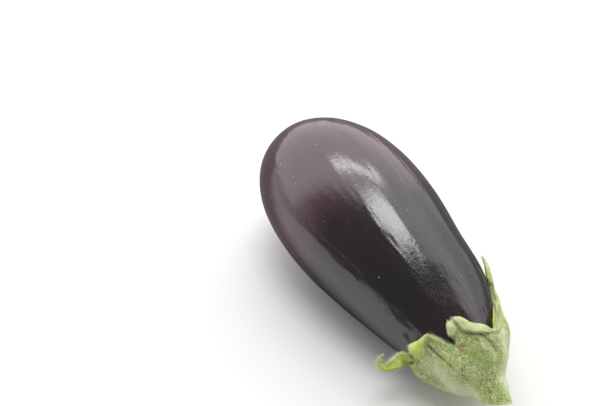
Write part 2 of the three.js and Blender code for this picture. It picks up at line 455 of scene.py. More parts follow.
def layFloor():
    bpy.ops.mesh.primitive_plane_add(size=studio["floorSize"])
    floor = bpy.context.object
    floor.name = "floor"
    material, tree = newMaterial("matt_white_board")  # painted board: no gloss, so no streaks
    plain, dim = (addSurface(tree, paint(studio[name]), {"Roughness": studio["floorRoughness"]})
                  for name in ("floorColour", "floorInGloss"))
    # in the fruit's gloss the floor shows dim behind it, as if more fruit stood there
    behind = addRange(tree, addDot(tree, objectCoordinates(tree), studio["dimHeading"]),
                      *studio["dimBetween"])
    ray = addNode(tree, "ShaderNodeLightPath", {})
    amount = addMath(tree, "MULTIPLY", ray.outputs["Is Glossy Ray"], behind)
    seen = addNode(tree, "ShaderNodeMixShader", {0: amount, 1: plain, 2: dim})
    floor.data.materials.append(finishMaterial(material, seen.outputs["Shader"]))


buildWorld()
for number, spot in enumerate(studio["panels"]):
    hangPanel(spot, number)
layFloor()
bpy.context.scene.view_settings.view_transform = "Standard"
print("studio lit")


# The fruit's skin: a waxy cuticle over near-black purple flesh.

skinLook = {
    # along the fruit, from the blossom end: dusty mauve, near-black purple, reddish brown
    "colours": [(0.0, "#472a37"), (0.31, "#482936"), (0.41, "#38212b"), (0.47, "#1f1419"),
                (0.72, "#130d10"), (0.84, "#21120f"), (0.95, "#2e1b14")],
    "mottleSize": 14.0,
    "mottleShift": 30.0,    # how far it moves the colours along
    "raggedSize": 2.5,      # of the dusty part's edge
    "raggedShift": 8.0,
    "shiftBack": 19.0,      # undoes both shifts where the noise is at its middle
    "dimpleSize": 1.6,
    "grainSize": 0.5,
    "grainHeight": 0.5,     # next to the dimples
    "grainBetween": (0.42, 0.58),   # noise that is a smooth spot, and a grain
    "grainBump": (0.35, 0.0001),
    "streakSize": (60.0, 7.0),      # along the fruit and round it
    "streakBump": (1.0, 0.0006),
    "speckColour": "#c9c3c2",
    "speckSpacing": 2.8,
    "speckRadius": 0.26,
    "speckStray": 0.9,      # how far they stray from their cells
    "speckShare": (0.8, 1.0),       # of the cells' random numbers, from no speck to a bright one
    "roughness": (0.13, 0.23),      # of a smooth spot and of a grain
    "ior": 1.8,             # wax over the skin mirrors more than the 1.45 of plain cuticle
    "scarFades": (1.0, 1.7),        # from the tip, once frayed
    "scarFray": 1.8,
    "scarRoughness": 0.5,   # added to the skin's
    "cork": [(0.3, "#5d4029"), (0.7, "#a58657")],
    "corkGrain": 1.3,       # per millimetre
}


def makeSkin():
    material, tree = newMaterial("waxy_aubergine_skin")
    where = fruitCoordinates(tree)
    along = addNode(tree, "ShaderNodeSeparateXYZ", {"Vector": where}).outputs["X"]
    mottle = addNoise(tree, where, 1 / skinLook["mottleSize"], 3.0, 0.55)
    ragged = addNoise(tree, where, 1 / skinLook["raggedSize"], 3.0, 0.6)
    along = addMath(tree, "MULTIPLY_ADD", mottle, skinLook["mottleShift"], along)
    along = addMath(tree, "MULTIPLY_ADD", ragged, skinLook["raggedShift"], along)
    share = addMath(tree, "MULTIPLY_ADD", along, 1 / fruit["span"],
                    -skinLook["shiftBack"] / fruit["span"])
    colour = addRamp(tree, share, skinLook["colours"])

    # specks of dust: tiny pale spots, one in every fifth cell and no two as bright
    bent = addNode(tree, "ShaderNodeVectorMath", {
        "operation": "MULTIPLY_ADD", 0: ragged.node.outputs["Color"],
        1: (skinLook["speckStray"],) * 3, 2: where}).outputs["Vector"]
    cells = addNode(tree, "ShaderNodeTexVoronoi",
                    {"Scale": 1 / skinLook["speckSpacing"], "Vector": bent}).outputs
    radius = skinLook["speckRadius"] / skinLook["speckSpacing"]
    near = addRange(tree, cells["Distance"], radius * 0.5, radius, 1.0, 0.0)
    chance = addNode(tree, "ShaderNodeSeparateColor", {"Color": cells["Color"]}).outputs["Red"]
    some = addRange(tree, chance, *skinLook["speckShare"])
    speck = addMath(tree, "MULTIPLY", near, some)
    colour = mixColours(tree, speck, colour, skinLook["speckColour"])

    # the blossom scar: a corky brown spot at the blunt end
    fromEnd = addNode(tree, "ShaderNodeVectorMath", {"operation": "LENGTH", 0: where})
    torn = addNoise(tree, where, skinLook["corkGrain"], 4.0)
    reach = addMath(tree, "MULTIPLY_ADD", torn, -skinLook["scarFray"], fromEnd.outputs["Value"])
    scar = addRange(tree, reach, *skinLook["scarFades"], 1.0, 0.0)
    colour = mixColours(tree, scar, colour, addRamp(tree, torn, skinLook["cork"]))

    # fine grain, which stipples the highlights, over shallow dimples. Real grain is finer, down to
    # 0.1 mm, which would not show.
    grain = addNoise(tree, where, 1 / skinLook["grainSize"], 1.0)
    dimples = addNoise(tree, where, 1 / skinLook["dimpleSize"], 1.0)
    relief = addMath(tree, "MULTIPLY_ADD", grain, skinLook["grainHeight"], dimples)
    bump = addBump(tree, relief, skinLook["grainBump"])
    # and faint furrows along the fruit, which bend what it mirrors
    streaks = addStreaks(tree, where, skinLook["streakSize"], 2.0)
    dull = addRange(tree, grain, *skinLook["grainBetween"], *skinLook["roughness"])
    return finishMaterial(material, addSurface(tree, colour, {
        "IOR": skinLook["ior"],
        "Roughness": addMath(tree, "MULTIPLY_ADD", scar, skinLook["scarRoughness"], dull),
        "Normal": addBump(tree, streaks, skinLook["streakBump"], bump),
    }))


def modelFruit():
    rings = fruit["rings"]
    alongs = [fruit["end"] * (1 - math.cos(math.pi * i / rings)) / 2 for i in range(1, rings)]

    def ringRadius(along):
        lobe = fruit["lobeHeight"] * (fruitRadius(along) / fruit["girth"]) ** 2
        inset, fade = fruit["inset"]
        return fruitRadius(along) - lobe - inset * smoothStep(along, 0, fade)

    def placeOf(along):  # the blunt end is drawn in a little
        inset, fade = fruit["endInset"]
        return along + inset * (1 - smoothStep(along, 0, fade))

    bpy.ops.object.select_all(action="DESELECT")
    bpy.ops.mesh.primitive_circle_add(
        vertices=fruit["sides"], radius=ringRadius(alongs[0]), fill_type="NGON",
        location=(placeOf(alongs[0]), axisSide(alongs[0]), 0), rotation=(0, math.pi / 2, 0))
    piece = startPiece("eggplant_fruit")
    bpy.ops.object.mode_set(mode="EDIT")
    for before, along in zip(alongs, alongs[1:]):  # the cap moves on, ring by ring
        bpy.ops.mesh.extrude_region_move(TRANSFORM_OT_translate={
            "value": (placeOf(along) - placeOf(before), axisSide(along) - axisSide(before), 0)})
        grow = ringRadius(along) / ringRadius(before)
        bpy.ops.transform.resize(value=(1, grow, grow),
                                 center_override=(along, axisSide(along), 0))
    bpy.ops.mesh.inset(thickness=ringRadius(alongs[-1]) * 0.5)
    bpy.ops.mesh.poke()
    bpy.ops.mesh.select_all(action="SELECT")
    bpy.ops.mesh.normals_make_consistent(inside=False)

    # the blossom scar: a low corky rim round a sunken middle
    pick(piece, "FACE", lambda face: face.calc_center_median().x < placeOf(alongs[0]) + 0.001)
    for thickness, depth in fruit["scarRings"]:
        bpy.ops.mesh.inset(thickness=thickness, depth=depth)
    bpy.ops.mesh.poke()
    bpy.ops.object.mode_set(mode="OBJECT")
    addModifier(piece, "SUBSURF", levels=1, render_levels=1)

    def lobeWeight(vertex):
        x, y, z = vertex.co
        turn = math.atan2(y - axisSide(x), z)
        size = math.hypot(y - axisSide(x), z) / fruit["girth"]
        wave = 0.5 + 0.5 * math.cos(fruit["lobes"] * turn + fruit["lobeTurn"])
        return min(1.0, wave * size ** 2 / fruit["lobeRoom"])

    raiseSkin(piece, "lobes", lobeWeight, 2 * fruit["lobeRoom"] * fruit["lobeHeight"])
    highest = fruit["swell"][2]
    raiseSkin(piece, "swell", lambda vertex: swellAt(vertex.co) / highest, highest)
    away = weigh(piece, "away", lambda vertex: smoothStep(vertex.co.x, *fruit["dentsFrom"]))
    addLumps(piece, "soft_dents", fruit["dentSize"], 1, fruit["dentDepth"], fruit["dentMiddle"],
             away)
    layDown(piece)

    # the small flat spot that it rests on
    bpy.ops.object.mode_set(mode="EDIT")
    bpy.ops.mesh.select_all(action="SELECT")
    bpy.ops.mesh.bisect(plane_co=(0, 0, 0), plane_no=(0, 0, -1), use_fill=True, clear_outer=True,
                        threshold=0.000001)
    bpy.ops.object.mode_set(mode="OBJECT")
    bpy.ops.object.shade_smooth()
    piece.vertex_groups.clear()
    piece.data.materials.clear()
    piece.data.materials.append(makeSkin())
    onFruit(piece, "fruit")


modelFruit()
print("fruit modelled")


# The calyx and stem: one felted green sheet, its sepals curled and folded as they dried.

calyx = {
    "skinGap": 0.3,
    "cupThickness": 1.7,
    "tipThickness": 0.8,
    "columns": 12,          # across each sepal
    "sepalRows": 16,
    "cupRows": 15,
    "sharpRing": 0.012,     # a ring this close to the cut, as a share of the cup, keeps it sharp
    "ribHeight": 0.45,
    "ribShare": 0.32,
    "marginWave": 0.07,     # raggedness of the margins, as a share of the half width
    # how far along and how thick the cup and the stem are, outside
    "outside": [(118, 22.3), (124, 20.3), (131, 17.7), (136, 15.5), (140, 13.0), (142.5, 10.8),
                (144.5, 8.3), (146, 6.75), (148, 5.95), (150, 5.4), (152, 4.75), (154, 4.35),
                (158, 4.0)],
    "stemStart": 148.0,
    "stemBendLength": 7.0,
    "stemSide": -0.4,
    "stemRise": -1.2,
    "cutCentre": (153.6, -0.3, -1.0),
    "cutNormal": (0.78, -0.35, -0.52),
    "cutDepth": 0.5,        # what lies this close to the cut face belongs to it
    # share of the cut's radius and how deep it lies, from the torn skin in to the pith
    "cutRings": [(0.965, 0.0), (0.90, 0.12), (0.72, 0.05), (0.55, 0.10), (0.46, 0.34), (0.22, 0.42)],
    "furrowDepth": 0.3,     # beside each midrib, down over the cup
    "furrowShare": 0.06,
    "furrowFades": [(-0.5, -0.2), (0.1, 0.7)],  # in on the cup, and out along the sepal
    "bodyFades": 0.25,      # share of a sepal over which it gets its own body
    "pressedIn": -0.8,      # the lowest that a sepal's inner side may go below its gap
    "foldFur": 0.9,         # the folded-out margins are furred less than the outside, and how
    "furFades": (1, 1.3),   # far across the sepal, where 1 is its edge, their fur comes in
    "feltLump": 1.3,
    "feltDepth": 0.42,
    "creaseLump": 4.5,
    "creaseDepth": 0.7,
    "broadMark": 2.0,       # marks that reach this far are made before the sheet gets its thickness
    "foldRaggedness": (0.7, 0.5),   # how often its free edge goes in and out, and how much
    "foldThinning": 0.5,    # how much thinner the sheet gets across a folded-out margin, and
    "foldThins": (1, 1.5),  # over how far across
    # turn in degrees and distance along of each notch, going round
    "notches": [(-136, 130.5), (-86, 121.8), (-37, 131.2), (28, 133.0), (88, 131.0), (155, 130.5)],
}

# the calyx's materials, in the order of their slots
surfaces = {"felt": 0, "underside": 1, "margin": 2, "cut": 3}

# Each sepal runs from the notch with its number to the next one. Its middle line goes through
# points of (along, sideways, height). Its widths are shares of its width where it leaves the cup,
# at even steps to its tip, its body is how fleshy it is, and its margins thin out by its thinning.
sepals = [
    # hooked up off the fruit
    {"widths": [1, 0.42, 0.30, 0.36, 0.46, 0.31, 0.20, 0.14, 0.03], "body": 0.45,
     "thinning": 0.45, "twist": [0, -30, -108, -83, -67, -66, -85, -130, -140], "furrow": 0,
     "path": [(123.2, 2.6, 0.4), (120.6, 5.4, 1.4), (119.1, 8.4, 4.4), (118.3, 9.8, 7.6),
              (117.3, 10.0, 10.0), (115.8, 10.6, 11.2), (114.2, 11.8, 11.2), (113.9, 13.6, 10.4),
              (114.4, 14.9, 9.4)]},
    # folded back over the cup
    {"widths": [1, 0.88, 0.74, 0.66, 0.62, 0.58, 0.50, 0.36, 0.08], "body": 0.75,
     "thinning": 0.45, "furrow": 1,
     "path": [(124.6, 0.0, 0.8), (122.2, 0.5, 1.9), (121.1, 0.5, 3.4), (121.6, -0.1, 4.9),
              (123.2, -1.0, 5.5), (125.2, -2.2, 5.1)]},
    # short, its margins rolled out
    {"widths": [1, 0.86, 0.62, 0.50, 0.42, 0.37, 0.32, 0.26, 0.12], "body": 0.7,
     "thinning": 0.5, "furrow": -1,
     "path": [(129.4, -3.6, 0.4), (127.2, -4.9, 0.7), (125.0, -5.4, 1.2), (123.0, -6.5, 1.8)]},
    # long, down the fruit's side
    {"widths": [1, 0.82, 0.62, 0.44, 0.30, 0.22, 0.17, 0.11, 0.04], "body": 0.85,
     "thinning": 0.2, "twist": [0, 9, 12, 8, 3, 0, 0, 0, 0], "furrow": 1,
     "path": [(125.9, 1.6, -0.7), (121.5, 4.2, -0.7), (117.5, 3.6, -0.5), (112.4, 2.0, 0.2),
              (107.5, 0.7, 1.3), (104.0, 0.0, 1.6)]},
    # behind
    {"widths": [1, 0.82, 0.66, 0.52, 0.40, 0.29, 0.19, 0.10, 0.03], "body": 0.9,
     "thinning": 0.45, "furrow": -1,
     "path": [(125.0, 0.4, 0.3), (119.5, 0.9, 0.7), (114.5, 1.0, 1.9), (110.8, 0.6, 3.8)]},
    # below
    {"widths": [1, 0.84, 0.70, 0.56, 0.43, 0.31, 0.20, 0.10, 0.03], "body": 0.9,
     "thinning": 0.45, "furrow": 0,
     "path": [(125.5, -0.4, 0.2), (120.5, -0.6, 0.3), (116.5, -0.2, 0.6)]},
]
allColumns = len(sepals) * calyx["columns"]

# The margins that have folded outwards: a fold runs along one or more stretches of the sheet's
# edge, each with its sepal, its side, the shares of the way to the tip between which it runs, and
# the fold's widths and heights there, in mm.
folds = [
    [{"sepal": 2, "side": -1, "from": 0.97, "to": 0.60,
      "widths": [0.6, 1.6, 1.9, 1.4, 0.4], "heights": [0.2, 0.6, 0.8, 0.6, 0.1]}],
    [{"sepal": 2, "side": 1, "from": 0.97, "to": 0.0,
      "widths": [0.6, 2.3, 2.2, 1.9, 1.8, 1.6, 0.8], "heights": [0.2, 0.8, 0.6, 0.4, 0.4, 0.3, 0.2]},
     {"sepal": 3, "side": -1, "from": 0.0, "to": 0.97,
      "widths": [0.8, 1.8, 2.0, 1.6, 1.1, 0.8, 0.7, 0.6, 0.3],
      "heights": [0.2, 0.5, 0.6, 0.5, 0.4, 0.3, 0.3, 0.2, 0.1]}],
]
# a fold in cross section, in shares of its width, back over the sheet, and of its height
foldShape = [(-0.02, 0.2), (-0.04, 0.5), (0.06, 0.84), (0.32, 1.0), (0.66, 0.84), (1.0, 0.3)]

# What growth and handling left on the calyx, and painted shade in its creases and under its rolled rims:
# lines of (along, turn), with how far each reaches to the sides in mm, how much it lifts the surface, and
# how much of a tint it gives.
marks = [
    {"line": [(121, 68), (133, 56)], "reach": 4.4, "lift": 1.5},
    {"line": [(136, 53), (141, 50)], "reach": 3.4, "lift": 0.5},
    {"line": [(121, -112), (128, -116)], "reach": 4.2, "lift": 1.1},
    {"line": [(129, -76), (134, -75), (140, -84)], "reach": 3.0, "lift": 0.8},
    {"line": [(134, 18), (139, 27), (143, 36)], "reach": 2.2, "lift": 0.7},
    {"line": [(133.5, -45), (137, -47)], "reach": 2.4, "lift": 0.5},
    {"line": [(134, -16), (138.4, -22), (140.5, -30)], "reach": 3.0, "lift": -0.6},
    # painted shade: these darken the creases, the gaps under the rolled rims and the waist, where shade
    # falls
    {"line": [(123.5, -55.5), (124.8, -57.2), (127.3, -58.6), (131.4, -58.4)], "reach": 0.55,
     "lift": -0.9, "dark": 1.0},
    {"line": [(131.4, -58.4), (134.9, -56.9)], "reach": 0.9, "lift": -0.4, "dark": 0.5},
    {"line": [(132.9, 1), (136.9, 9.6), (140.2, 17)], "reach": 0.8, "lift": -0.9, "dark": 0.8},
    {"line": [(136.8, -12), (139.5, -9)], "reach": 0.7, "lift": -0.4, "dark": 0.6},
    {"line": [(129.6, -17), (131.2, -8), (132, 2)], "reach": 0.9, "lift": -0.3, "dark": 0.55},
    {"line": [(147.5, -47), (149.5, -42)], "reach": 1.2, "lift": -0.3, "dark": 0.7},
    {"line": [(130, -101), (135, -98), (139, -96)], "reach": 0.9, "lift": -0.4, "dark": 0.6},
    {"line": [(138.5, -47), (140.5, -55)], "reach": 1.4, "lift": -0.3, "dark": 0.4},
    {"line": [(131.5, -72), (135, -75), (139.5, -85), (144, -92)], "reach": 3.4, "frost": 0.8},
    {"line": [(126.5, -68), (130, -70)], "reach": 2.4, "frost": 0.5},
    {"line": [(131, 34), (137, 42), (142, 44), (147, 44), (151, 44)], "reach": 3.2, "frost": 1.0},
    {"line": [(144, -78), (146.5, -110)], "reach": 2.6, "frost": 0.9},
    {"line": [(139, -92), (142, -102), (146, -112)], "reach": 3.2, "frost": 0.9},
    {"line": [(134, -20), (138, -20), (141.5, -8)], "reach": 3.6, "fresh": 0.9},
    {"line": [(131.5, -42), (134, -45)], "reach": 2.4, "fresh": 0.7},
    {"line": [(149, -10), (153, -20)], "reach": 3.0, "fresh": 0.7},
    {"line": [(132.2, -32.5), (133.0, -26)], "reach": 1.5, "rust": 1.0},
    {"line": [(133.6, -35), (134.3, -30)], "reach": 1.2, "rust": 0.6},
    {"line": [(134.6, -58), (136.3, -57)], "reach": 0.8, "rust": 0.8},
    {"line": [(140.5, -62), (141.4, -58)], "reach": 1.0, "rust": 0.5},
    {"line": [(122.4, -23), (124.2, -22)], "reach": 1.6, "dry": 1.0},
    {"line": [(123.6, -71), (124.4, -69)], "reach": 1.3, "dry": 0.8},
]


def smoothCurve(points, samples=24):
    # a curve through the points, as (length so far, place) pairs
    knots = [Vector(point) for point in points]
    knots = [2 * knots[0] - knots[1], *knots, 2 * knots[-1] - knots[-2]]
    places = []
    for before, start, end, after in zip(knots, knots[1:], knots[2:], knots[3:]):
        reach = (end - before) / 6, (after - start) / 6
        handles = start + reach[0], end - reach[1]
        places += geometry.interpolate_bezier(start, *handles, end, samples)[:-1]
    places.append(knots[-2])
    lengths = [0.0]
    for first, second in zip(places, places[1:]):
        lengths.append(lengths[-1] + (second - first).length)
    return list(zip(lengths, places))


def curveAt(curve, share):
    target = share * curve[-1][0]
    for (before, first), (after, second) in zip(curve, curve[1:]):
        if after >= target:
            return first.lerp(second, (target - before) / (after - before))
    return curve[-1][1]


outsideCurve = smoothCurve([(along, radius, 0) for along, radius in calyx["outside"]])


def outerRadius(along):
    for (_, first), (_, second) in zip(outsideCurve, outsideCurve[1:]):
        if second.x >= along:
            return mix(first.y, second.y, (along - first.x) / (second.x - first.x))
    return outsideCurve[-1][1].y


def spotOf(column):
    # where a column leaves the cup: its turn, its distance along, and how far across its sepal
    index, step = divmod(column % allColumns, calyx["columns"])
    share = step / calyx["columns"]
    turn, along = calyx["notches"][index]
    nextTurn, nextAlong = calyx["notches"][(index + 1) % len(sepals)]
    nextTurn += 360 if nextTurn < turn else 0
    return math.radians(mix(turn, nextTurn, share)), mix(along, nextAlong, share), 2 * share - 1


def blend(values, share):
    # a value at a share of the way through a list
    place = min(max(share, 0.0), 1.0) * (len(values) - 1)
    low = min(int(place), len(values) - 2)
    return mix(values[low], values[low + 1], place - low)


def thicknessAt(share, across, body, thinning):
    rib = calyx["ribHeight"] * bell(across, calyx["ribShare"]) * (1 - share)
    sheet = mix(calyx["cupThickness"], calyx["tipThickness"], math.sqrt(share))
    sheet *= mix(1, body, smoothStep(share, 0, calyx["bodyFades"]))
    sheet *= 1 - calyx["foldThinning"] * smoothStep(abs(across), *calyx["foldThins"])
    return sheet * (1 - thinning * min(1, abs(across)) ** 3) + rib


def sepalInside(index):
    # laid out flat beside the fruit, then rolled on to the skin
    sepal = sepals[index]
    columns = calyx["columns"]
    line = [spotOf(index * columns + c) for c in range(columns)]
    line.append((line[0][0] + 2 * (spotOf(index * columns + columns // 2)[0] - line[0][0]),
                 spotOf((index + 1) * columns)[1], 1.0))
    middleTurn, middleAlong, _ = line[columns // 2]
    halfWidth = (line[-1][0] - middleTurn) * fruitRadius(middleAlong)
    curve = smoothCurve([(middleAlong, 0, 0), *sepal["path"]])
    sideways = Vector((0, 1, 0))
    rows = [[skinPoint(along, turn, calyx["skinGap"]) for turn, along, _ in line]]
    for r in range(1, calyx["sepalRows"] + 1):
        share = r / calyx["sepalRows"]
        lean = sideways
        if "twist" in sepal:
            course = curveAt(curve, min(1, share + 0.01)) - curveAt(curve, share - 0.01)
            course.normalize()
            sideways = (sideways - course * sideways.dot(course)).normalized()
            twist = math.radians(blend(sepal["twist"], share))
            lean = Matrix.Rotation(twist, 3, course) @ sideways
        width = halfWidth * blend(sepal["widths"], share)
        row = []
        for c, (_, along, across) in enumerate(line):
            # each margin of each sepal gets its own stretch of the noise
            ragged = noise.noise(Vector((share * 6, 3.7 * index + math.copysign(1.3, across), 0.5)))
            wave = 1 + calyx["marginWave"] * ragged * across ** 2 * smoothStep(share, 0, 0.2)
            flat = curveAt(curve, share) + lean * (across * width * wave)
            flat.x += (along - middleAlong) * (1 - share) ** 2
            roll = flat.y / (fruitRadius(flat.x) + flat.z)
            height = calyx["skinGap"] + max(calyx["pressedIn"], flat.z)
            row.append(skinPoint(flat.x, middleTurn + roll, height))
        rows.append(row)
    return rows, line


def sepalOutside(index):
    inside, line = sepalInside(index)
    last = calyx["columns"]
    rows = []
    for r, row in enumerate(inside):
        share = r / calyx["sepalRows"]
        outer = []
        for c, point in enumerate(row):
            turn, along, across = line[c]
            thickness = thicknessAt(share, across, sepals[index]["body"], sepals[index]["thinning"])
            if r == 0:
                outer.append(skinPoint(along, turn, calyx["skinGap"] + thickness))
                continue
            over = row[min(c + 1, last)] - row[max(c - 1, 0)]
            down = inside[min(r + 1, len(inside) - 1)][c] - inside[r - 1][c]
            outer.append(point + over.cross(down).normalized() * thickness)
        rows.append(outer)
    return rows


def stemShift(along):
    share = max(0.0, (along - calyx["stemStart"]) / calyx["stemBendLength"]) ** 2
    return Vector((0, calyx["stemSide"] * share, calyx["stemRise"] * share))


def cutPlane():
    # the middle of the cut face, on the bowed axis, and the way it faces
    centre = Vector(calyx["cutCentre"])
    centre.y += axisSide(centre.x)
    return centre, Vector(calyx["cutNormal"]).normalized()


def cutAlong(turn):
    centre, normal = Vector(calyx["cutCentre"]), Vector(calyx["cutNormal"]).normalized()
    along = centre.x
    for _ in range(6):  # steps, each much closer than the last
        point = ringPoint(along, turn, outerRadius(along)) + stemShift(along)
        along -= (point - centre).dot(normal) / normal.x
    return along


def cupPoint(column, share):
    # from the cut, 0, to where the sepals start, 1
    turn, baseAlong, across = spotOf(column)
    thinning = sepals[column % allColumns // calyx["columns"]]["thinning"]
    base = skinPoint(baseAlong, turn, calyx["skinGap"] + thicknessAt(0, across, 1, thinning))
    if share >= 1:
        return base
    baseRadius = math.hypot(base.y - axisSide(base.x), base.z)
    along = mix(cutAlong(turn), base.x, share)
    rib = calyx["ribHeight"] * bell(across, calyx["ribShare"]) * math.sin(math.pi * share)
    meet = (baseRadius - outerRadius(base.x)) * share ** 2
    return ringPoint(along, turn, outerRadius(along) + rib + meet) + stemShift(along)


def extrudeTo(piece, share, places, sepal=-1):
    # extrudes what is selected, and moves each new point to the place of its column
    bpy.ops.mesh.extrude_edges_move()
    mesh = bmesh.from_edit_mesh(piece.data)
    layers = mesh.verts.layers
    for vert in mesh.verts:
        if vert.select:
            vert.co = places(vert[layers.int["column"]])
            vert[layers.float["reach"]] = share
            vert[layers.int["sepal"]] = sepal
            for name in ("body", "thinning"):
                if sepal >= 0:
                    vert[layers.float[name]] = sepals[sepal][name]
    bmesh.update_edit_mesh(piece.data)


def foldMargin(piece, fold, outsides):
    # extrudes a stretch of margin step by step, out and back over the sheet
    rows = calyx["sepalRows"]
    chain = []
    for stretch in fold:
        first, last = round(stretch["from"] * rows), round(stretch["to"] * rows)
        step = 1 if last > first else -1
        for r in range(first, last + step, step):
            if not (chain and r == 0 and step > 0):  # the notch is there already
                share = abs(r - first) / abs(last - first)
                chain.append((stretch, r, blend(stretch["widths"], share),
                              blend(stretch["heights"], share)))
    places = [outsides[stretch["sepal"]][r][-1 if stretch["side"] > 0 else 0]
              for stretch, r, _, _ in chain]
    frames = {}
    for number, (stretch, r, width, height) in enumerate(chain):
        sepal, side = stretch["sepal"], stretch["side"]
        column = (sepal + (side > 0)) * calyx["columns"] % allColumns
        # the fold lies back over the sheet, and at the notch up over the cup
        inner = outsides[sepal][r][-3 if side > 0 else 2]
        inner = cupPoint(column, 0.85).lerp(inner, smoothStep(r, 0, 4))
        course = places[min(number + 1, len(chain) - 1)] - places[max(number - 1, 0)]
        back = inner - places[number]
        back = (back - course * back.dot(course) / course.length_squared).normalized()
        out = back.cross(course).normalized()
        away = places[number] - Vector((places[number].x, axisSide(places[number].x), 0))
        out = -out if out.dot(away) < 0 else out
        ragged = noise.noise(places[number] * calyx["foldRaggedness"][0])
        width *= 1 + calyx["foldRaggedness"][1] * ragged
        frames[-1 if r == 0 else sepal, column, r] = places[number], back * width, out * height

    def keyOf(vert, layers):
        return (vert[layers.int["sepal"]], vert[layers.int["column"]],
                round(vert[layers.float["reach"]] * rows))

    def onMargin(edge):
        layers = bmesh.from_edit_mesh(piece.data).verts.layers
        return edge.is_boundary and all(keyOf(vert, layers) in frames for vert in edge.verts)

    pick(piece, "EDGE", onMargin)
    for step, (over, up) in enumerate(foldShape, 1):
        bpy.ops.mesh.extrude_edges_move()
        mesh = bmesh.from_edit_mesh(piece.data)
        layers = mesh.verts.layers
        for vert in mesh.verts:
            if vert.select:
                start, back, out = frames[keyOf(vert, layers)]
                vert.co = start + back * over + out * up
                vert[layers.float["edge"]] = 1 + step / len(foldShape)
        bmesh.update_edit_mesh(piece.data)


def modelCalyx():
    rows = calyx["cupRows"]
    bpy.ops.object.select_all(action="DESELECT")
    bpy.ops.mesh.primitive_circle_add(vertices=allColumns, radius=outerRadius(calyx["cutCentre"][0]),
                                      location=calyx["cutCentre"], rotation=(0, math.pi / 2, 0))
    piece = startPiece("calyx_and_cut_stem")
    bpy.ops.object.mode_set(mode="EDIT")
    mesh = bmesh.from_edit_mesh(piece.data)
    column, sepal = (mesh.verts.layers.int.new(name) for name in ("column", "sepal"))
    reach, edge, furrow, body, thinning = (
        mesh.verts.layers.float.new(name)
        for name in ("reach", "edge", "furrow", "body", "thinning"))
    for vert in mesh.verts:
        across = spotOf(vert.index)[2]
        beside = 2 * sepals[vert.index // calyx["columns"]]["furrow"] / calyx["columns"]
        vert[column] = vert.index
        vert[sepal] = -1
        vert[reach] = -1.0
        vert[edge] = abs(across)
        vert[body] = 1.0
        vert[thinning] = sepals[vert.index // calyx["columns"]]["thinning"]
        vert[furrow] = abs(across - beside)
        vert.co = cupPoint(vert.index, 0)
    bmesh.update_edit_mesh(piece.data)

    # down the stem and over the cup
    for share in [calyx["sharpRing"], *(r / rows for r in range(1, rows + 1))]:
        extrudeTo(piece, share - 1, lambda c: cupPoint(c, share))

    # the sepals, each from its own stretch of the cup's rim
    outsides = [sepalOutside(index) for index in range(len(sepals))]
    for index, outside in enumerate(outsides):
        first = index * calyx["columns"]
        own = {(first + c) % allColumns: c for c in range(calyx["columns"] + 1)}

        def onBase(edge):
            layer = bmesh.from_edit_mesh(piece.data).verts.layers
            return all(v[layer.float["reach"]] == 0 and v[layer.int["column"]] in own
                       for v in edge.verts)

        pick(piece, "EDGE", onBase)
        for r in range(1, calyx["sepalRows"] + 1):
            extrudeTo(piece, r / calyx["sepalRows"], lambda c: outside[r][own[c]], index)
    for fold in folds:
        foldMargin(piece, fold, outsides)

    # the cut face: torn skin, pale wood and a sunken pith
    centre, normal = cutPlane()

    def onCut(edge):
        layer = bmesh.from_edit_mesh(piece.data).verts.layers.float["reach"]
        return all(v[layer] == -1 for v in edge.verts)

    pick(piece, "EDGE", onCut)
    for share, depth in calyx["cutRings"]:
        extrudeTo(piece, -1 - (1 - share) / 2,
                  lambda c: centre.lerp(cupPoint(c, 0), share) - normal * depth)
    bpy.ops.mesh.edge_face_add()
    bpy.ops.mesh.poke()
    bpy.ops.mesh.select_all(action="SELECT")
    bpy.ops.mesh.normals_make_consistent(inside=False)
    bpy.ops.object.mode_set(mode="OBJECT")
    return piece


def markLine(mark):
    return [ringPoint(along, math.radians(turn), outerRadius(along)) for along, turn in mark["line"]]


def cornersOf(piece):
    points = np.empty(len(piece.data.vertices) * 3)
    piece.data.vertices.foreach_get("co", points)
    return points.reshape(-1, 3)


def liftMarks(piece, broad, allowed):
    # moves the surface along its normals where a mark swells or creases it
    points = cornersOf(piece)
    normals = np.empty(len(points) * 3)
    piece.data.vertices.foreach_get("normal", normals)
    height = np.zeros(len(points))
    for mark in marks:
        if mark.get("lift") and (mark["reach"] >= calyx["broadMark"]) == broad:
            height += mark["lift"] * nearLine(points, markLine(mark), mark["reach"])
    points += normals.reshape(-1, 3) * (height * allowed)[:, None]
    piece.data.vertices.foreach_set("co", points.ravel())
    piece.data.update()


felt = {
    "blotchSize": 4.0,
    "speckleSize": 0.55,
    "fibreSize": (3.2, 0.7),    # along the stem and across it
    "fibreHeight": 0.75,        # next to the speckle
    "greens": [(0.34, "#7e8c3e"), (0.48, "#a4b45c"), (0.62, "#c6d28a")],
    "hairs": [(0.36, "#6a7c3e"), (0.50, "#b4c076"), (0.62, "#f2f4d8")],
    "hairShare": 0.55,
    "bump": (0.8, 0.0004),
    # the first tint is painted shade for the creases and the gaps under the rolled rims; the others are
    # the calyx's own fuzz, fresh green, rust and dry spots
    "tintColours": {"dark": "#414c22", "frost": "#e0e5c2", "fresh": "#8ba24a", "rust": "#86603a",
                    "dry": "#f2efe2"},
    "tintWear": 1.5,            # how ragged the tints' edges are
    "tintFades": (0.25, 1.0, 0.0, 0.85),    # over these amounts, and from and to these shares
    # the pale rim of each sepal: across it, and along it from the cup
    "rimColour": "#cbd5a6",
    "rimFades": (0.84, 1.0, 0.0, 0.6),
    "rimStarts": (-0.1, 0.25),
    "surface": {"Roughness": 0.85, "Specular IOR Level": 0.3, "Sheen Weight": 0.35,
                "Sheen Roughness": 0.5, "Sheen Tint": paint("#eef2dc")},
}


